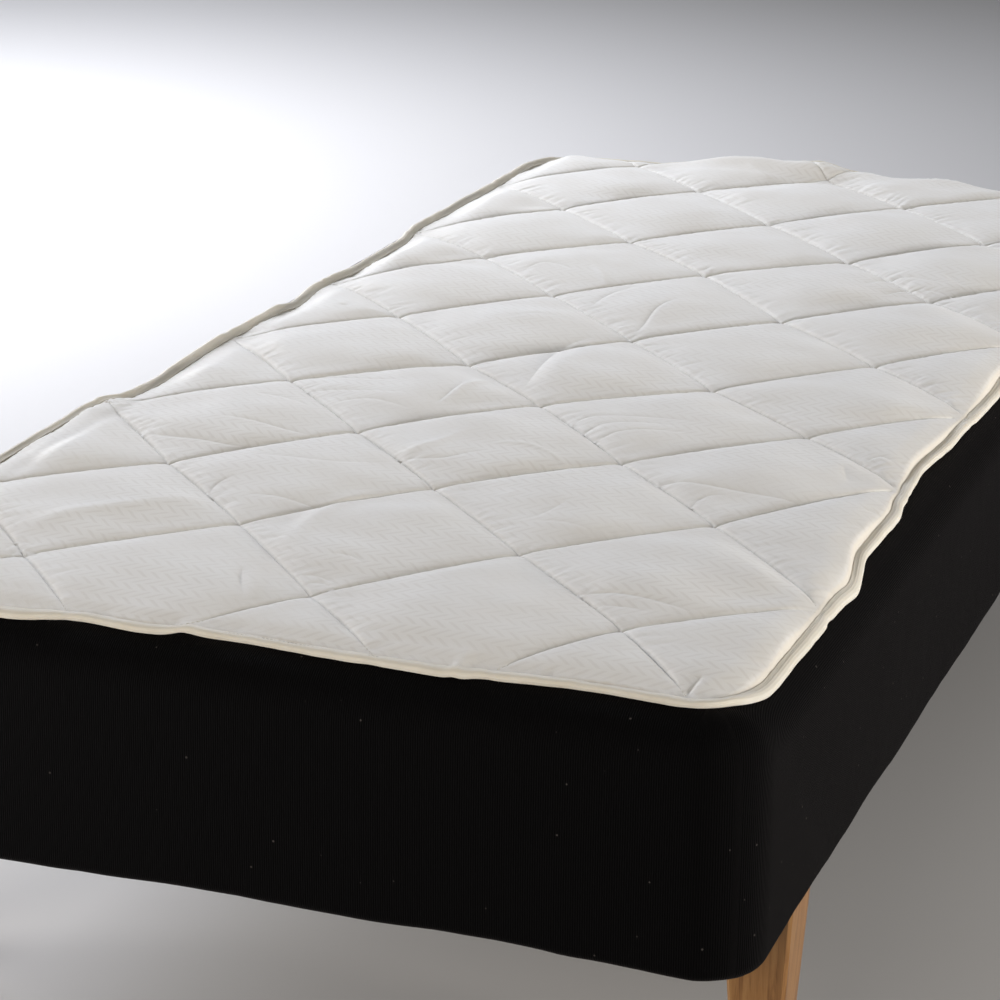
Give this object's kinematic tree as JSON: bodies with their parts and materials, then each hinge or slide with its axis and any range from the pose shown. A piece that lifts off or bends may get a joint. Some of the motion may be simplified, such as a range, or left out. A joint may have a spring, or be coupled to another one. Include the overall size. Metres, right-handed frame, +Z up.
{
  "type": "mattress topper on a bed",
  "caption": "Diamond-quilted mattress topper with a folded tape round its edge, lying on the covered box bed that it fits, which stands on tapered wooden legs.",
  "frame": {"origin": "on the floor, below the middle of the bed", "axes": "+Z up, +Y along the bed from its foot end to its head end, +X across the bed to the right as seen from the foot end"},
  "size_m": [0.935, 2.08, 0.4572],
  "materials": {
    "quilted_cover": "off-white woven cotton with a faint herringbone relief, quilted",
    "binding_tape": "cream cotton tape, ribbed along its length",
    "knit_cover": "black finely ribbed stretch knit, matte",
    "birch_wood": "clear-lacquered birch, satin"
  },
  "bodies": {
    "root": {"topper_pad": "quilted_cover", "edge_binding": "binding_tape", "bed_base": "knit_cover", "leg_foot_left": "birch_wood", "leg_foot_right": "birch_wood", "leg_head_left": "birch_wood", "leg_head_right": "birch_wood"}
  },
  "joints": []
}
